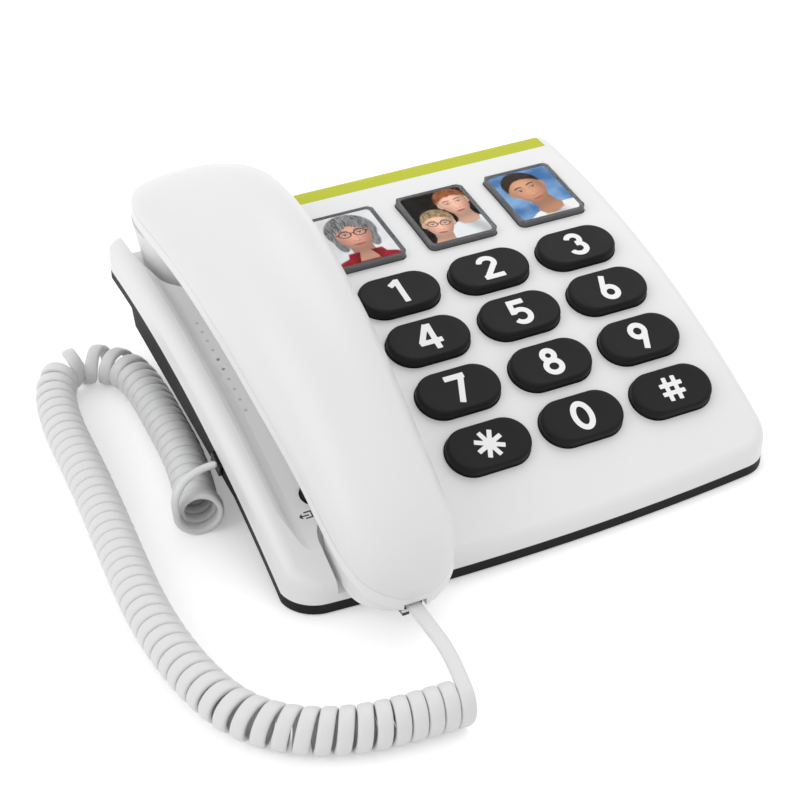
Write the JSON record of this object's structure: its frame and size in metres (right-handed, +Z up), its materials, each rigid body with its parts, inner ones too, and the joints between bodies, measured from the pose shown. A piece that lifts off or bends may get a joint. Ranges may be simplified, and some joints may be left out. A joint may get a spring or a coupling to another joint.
{
  "type": "corded desk phone",
  "caption": "Corded desk phone with a curved wedge base, large round-ended dialling keys, photo memory keys, a side cradle for the handset and a curly cord.",
  "frame": {"origin": "middle of the underside of the feet, under the phone without its cord", "axes": "+X to the user's right, +Y to the back, +Z up"},
  "size_m": [0.2411, 0.2542, 0.0949],
  "materials": {
    "white_plastic": "satin",
    "dark_plastic": "fine grain",
    "lime_plastic": "satin",
    "key_rubber": "soft",
    "frame_plastic": "satin",
    "photo_card": "printed card",
    "clear_lens": "polished",
    "board": "satin",
    "brass_disc": "satin",
    "black_rubber": "matt",
    "steel": "plain",
    "cord_plastic": "satin",
    "clear_plug": "translucent"
  },
  "bodies": {
    "base": {"base_top_casing": "white_plastic", "base_bottom_cover": "dark_plastic", "accent_strip": "lime_plastic", "keypad_mat": "key_rubber", "keypad_board": "board", "main_board": "board", "ringer_disc": "brass_disc", "hook_switch": "dark_plastic", "base_handset_jack": "dark_plastic", "line_jack": "dark_plastic", "rubber_feet": "black_rubber", "cover_screws": "steel", "board_screws": "steel", "curly_cord": "cord_plastic", "cord_plug_base": "clear_plug"},
    "handset": {"handset_outer_shell": "white_plastic", "handset_inner_shell": "white_plastic", "earpiece_capsule": "dark_plastic", "microphone_capsule": "dark_plastic", "handset_weight": "steel", "handset_jack": "dark_plastic", "handset_screws": "steel", "cord_plug_handset": "clear_plug"},
    "hook": {"hook_plunger": "white_plastic"},
    "redial": {"redial_key": "key_rubber"},
    "key_1": {"key_1": "key_rubber"},
    "key_2": {"key_2": "key_rubber"},
    "key_3": {"key_3": "key_rubber"},
    "key_4": {"key_4": "key_rubber"},
    "key_5": {"key_5": "key_rubber"},
    "key_6": {"key_6": "key_rubber"},
    "key_7": {"key_7": "key_rubber"},
    "key_8": {"key_8": "key_rubber"},
    "key_9": {"key_9": "key_rubber"},
    "key_star": {"key_star": "key_rubber"},
    "key_0": {"key_0": "key_rubber"},
    "key_hash": {"key_hash": "key_rubber"},
    "photo_key_1": {"photo_frame_1": "frame_plastic", "photo_card_1": "photo_card", "photo_lens_1": "clear_lens"},
    "photo_key_2": {"photo_frame_2": "frame_plastic", "photo_card_2": "photo_card", "photo_lens_2": "clear_lens"},
    "photo_key_3": {"photo_frame_3": "frame_plastic", "photo_card_3": "photo_card", "photo_lens_3": "clear_lens"}
  },
  "joints": [
    {"name": "handset_lift", "type": "slide", "parent": "base", "child": "handset", "axis": [0, 0, 1], "range_m": [0, 0.06]},
    {"name": "hook_rise", "type": "slide", "parent": "base", "child": "hook", "axis": [0, -0.1009, 0.9949], "range_m": [0, 0.004]},
    {"name": "key_1_press", "type": "slide", "parent": "base", "child": "key_1", "axis": [0, 0.2149, -0.9766], "range_m": [0, 0.0015], "stiffness_N_per_m": 500, "springref_m": -0.001},
    {"name": "key_2_press", "type": "slide", "parent": "base", "child": "key_2", "axis": [0, 0.2149, -0.9766], "range_m": [0, 0.0015], "stiffness_N_per_m": 500, "springref_m": -0.001},
    {"name": "key_3_press", "type": "slide", "parent": "base", "child": "key_3", "axis": [0, 0.2149, -0.9766], "range_m": [0, 0.0015], "stiffness_N_per_m": 500, "springref_m": -0.001},
    {"name": "key_4_press", "type": "slide", "parent": "base", "child": "key_4", "axis": [0, 0.2796, -0.9601], "range_m": [0, 0.0015], "stiffness_N_per_m": 500, "springref_m": -0.001},
    {"name": "key_5_press", "type": "slide", "parent": "base", "child": "key_5", "axis": [0, 0.2796, -0.9601], "range_m": [0, 0.0015], "stiffness_N_per_m": 500, "springref_m": -0.001},
    {"name": "key_6_press", "type": "slide", "parent": "base", "child": "key_6", "axis": [0, 0.2796, -0.9601], "range_m": [0, 0.0015], "stiffness_N_per_m": 500, "springref_m": -0.001},
    {"name": "key_7_press", "type": "slide", "parent": "base", "child": "key_7", "axis": [0, 0.3431, -0.9393], "range_m": [0, 0.0015], "stiffness_N_per_m": 500, "springref_m": -0.001},
    {"name": "key_8_press", "type": "slide", "parent": "base", "child": "key_8", "axis": [0, 0.3431, -0.9393], "range_m": [0, 0.0015], "stiffness_N_per_m": 500, "springref_m": -0.001},
    {"name": "key_9_press", "type": "slide", "parent": "base", "child": "key_9", "axis": [0, 0.3431, -0.9393], "range_m": [0, 0.0015], "stiffness_N_per_m": 500, "springref_m": -0.001},
    {"name": "key_star_press", "type": "slide", "parent": "base", "child": "key_star", "axis": [0, 0.405, -0.9143], "range_m": [0, 0.0015], "stiffness_N_per_m": 500, "springref_m": -0.001},
    {"name": "key_0_press", "type": "slide", "parent": "base", "child": "key_0", "axis": [0, 0.405, -0.9143], "range_m": [0, 0.0015], "stiffness_N_per_m": 500, "springref_m": -0.001},
    {"name": "key_hash_press", "type": "slide", "parent": "base", "child": "key_hash", "axis": [0, 0.405, -0.9143], "range_m": [0, 0.0015], "stiffness_N_per_m": 500, "springref_m": -0.001},
    {"name": "photo_key_1_press", "type": "slide", "parent": "base", "child": "photo_key_1", "axis": [0, 0.1202, -0.9928], "range_m": [0, 0.001], "stiffness_N_per_m": 500, "springref_m": -0.001},
    {"name": "photo_key_2_press", "type": "slide", "parent": "base", "child": "photo_key_2", "axis": [0, 0.1202, -0.9928], "range_m": [0, 0.001], "stiffness_N_per_m": 500, "springref_m": -0.001},
    {"name": "photo_key_3_press", "type": "slide", "parent": "base", "child": "photo_key_3", "axis": [0, 0.1202, -0.9928], "range_m": [0, 0.001], "stiffness_N_per_m": 500, "springref_m": -0.001},
    {"name": "redial_press", "type": "slide", "parent": "base", "child": "redial", "axis": [0, 0.3934, -0.9194], "range_m": [0, 0.001], "stiffness_N_per_m": 500, "springref_m": -0.001}
  ],
  "couplings": [
    {"joint": "hook_rise", "follows": "handset_lift", "ratio": 0.066667}
  ]
}
